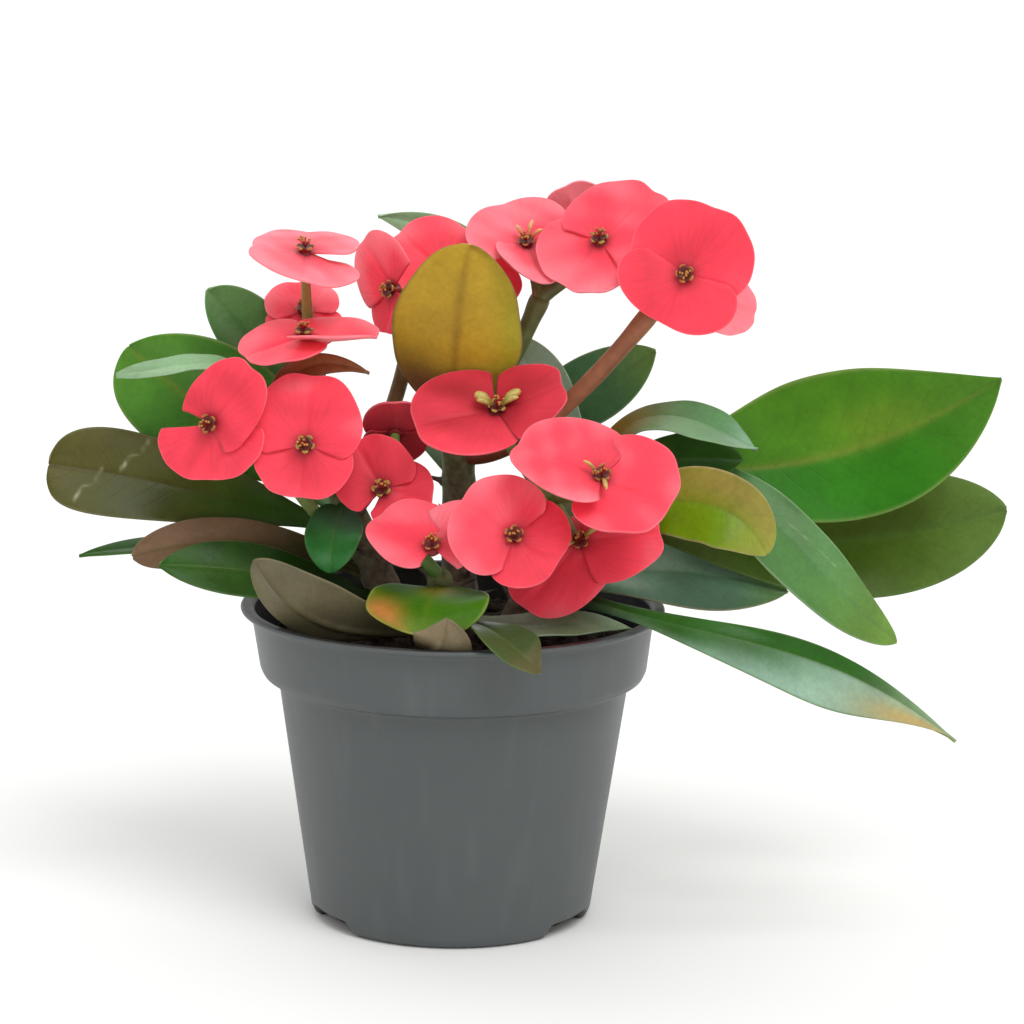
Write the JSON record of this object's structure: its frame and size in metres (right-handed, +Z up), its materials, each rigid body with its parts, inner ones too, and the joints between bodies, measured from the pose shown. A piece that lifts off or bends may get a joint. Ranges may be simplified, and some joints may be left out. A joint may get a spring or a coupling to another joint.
{
  "type": "potted flowering plant",
  "caption": "Crown-of-thorns plant in a round nursery pot: thorny stems, spoon-shaped leaves and clusters of flat coral red blooms on forked stalks.",
  "frame": {"origin": "middle of the pot's flat underside, on the surface the pot stands on", "axes": "+Z up along the pot's axis; -Y towards the viewer of the picture, so the front; +X to that viewer's right"},
  "size_m": [0.271, 0.1728, 0.2073],
  "materials": {
    "pot_plastic": "satin injection-moulded grey plastic",
    "peat": "dark crumbly potting peat",
    "stem_bark": "grey-brown ribbed bark with woody thorns",
    "stalk_green": "smooth green flower stalk",
    "stalk_brown": "smooth red-brown flower stalk",
    "bract_red": "matte coral red bract",
    "leaf_fresh": "waxy mid-green leaf",
    "leaf_dark": "waxy dark green leaf",
    "leaf_blue": "waxy blue-green leaf",
    "leaf_pale": "pale grey-green leaf underside",
    "leaf_olive": "olive to yellow ageing leaf",
    "leaf_bronze": "young ochre-bronze leaf",
    "leaf_umber": "weathered olive-brown leaf"
  },
  "bodies": {
    "root": {"pot": "pot_plastic", "soil": "peat", "stems": "stem_bark", "stalk_right_top": "stalk_brown", "bloom_09": "bract_red", "bloom_10": "bract_red", "stalk_middle_top": "stalk_green", "bloom_06": "bract_red", "bloom_07": "bract_red", "bloom_11": "bract_red", "stalk_back": "stalk_brown", "bloom_04": "bract_red", "bloom_05": "bract_red", "stalk_left_top": "stalk_green", "bloom_01": "bract_red", "bloom_02": "bract_red", "bloom_03": "bract_red", "stalk_left": "stalk_green", "bloom_12": "bract_red", "bloom_13": "bract_red", "stalk_front": "stalk_green", "bloom_14": "bract_red", "bloom_15": "bract_red", "bloom_16": "bract_red", "stalk_right": "stalk_green", "bloom_17": "bract_red", "bloom_18": "bract_red", "bloom_19": "bract_red", "bloom_20": "bract_red", "stalk_right_low": "stalk_green", "bloom_08": "bract_red", "leaf_right_upper": "leaf_fresh", "leaf_right_lower": "leaf_dark", "leaf_right_long": "leaf_blue", "leaf_right_short": "leaf_olive", "leaf_right_arched": "leaf_blue", "leaf_right_under": "leaf_dark", "leaf_right_drooping": "leaf_dark", "leaf_right_inner": "leaf_blue", "leaf_top": "leaf_pale", "leaf_back_right": "leaf_blue", "leaf_back_tip": "leaf_pale", "leaf_bronze": "leaf_bronze", "leaf_left_top": "leaf_blue", "leaf_left_round": "leaf_fresh", "leaf_left_edge": "leaf_pale", "leaf_left_brown": "leaf_umber", "leaf_left_long": "leaf_umber", "leaf_left_narrow": "leaf_dark", "leaf_left_curled": "leaf_umber", "leaf_left_low": "leaf_dark", "leaf_rim_left": "leaf_umber", "leaf_centre_hanging": "leaf_dark", "leaf_centre": "leaf_olive", "leaf_rim_front": "leaf_dark", "leaf_rim_folded": "leaf_umber", "leaf_rim_right": "leaf_pale", "leaf_back_left": "leaf_fresh", "leaf_back_middle": "leaf_dark", "leaf_back_low": "leaf_fresh"}
  },
  "joints": []
}
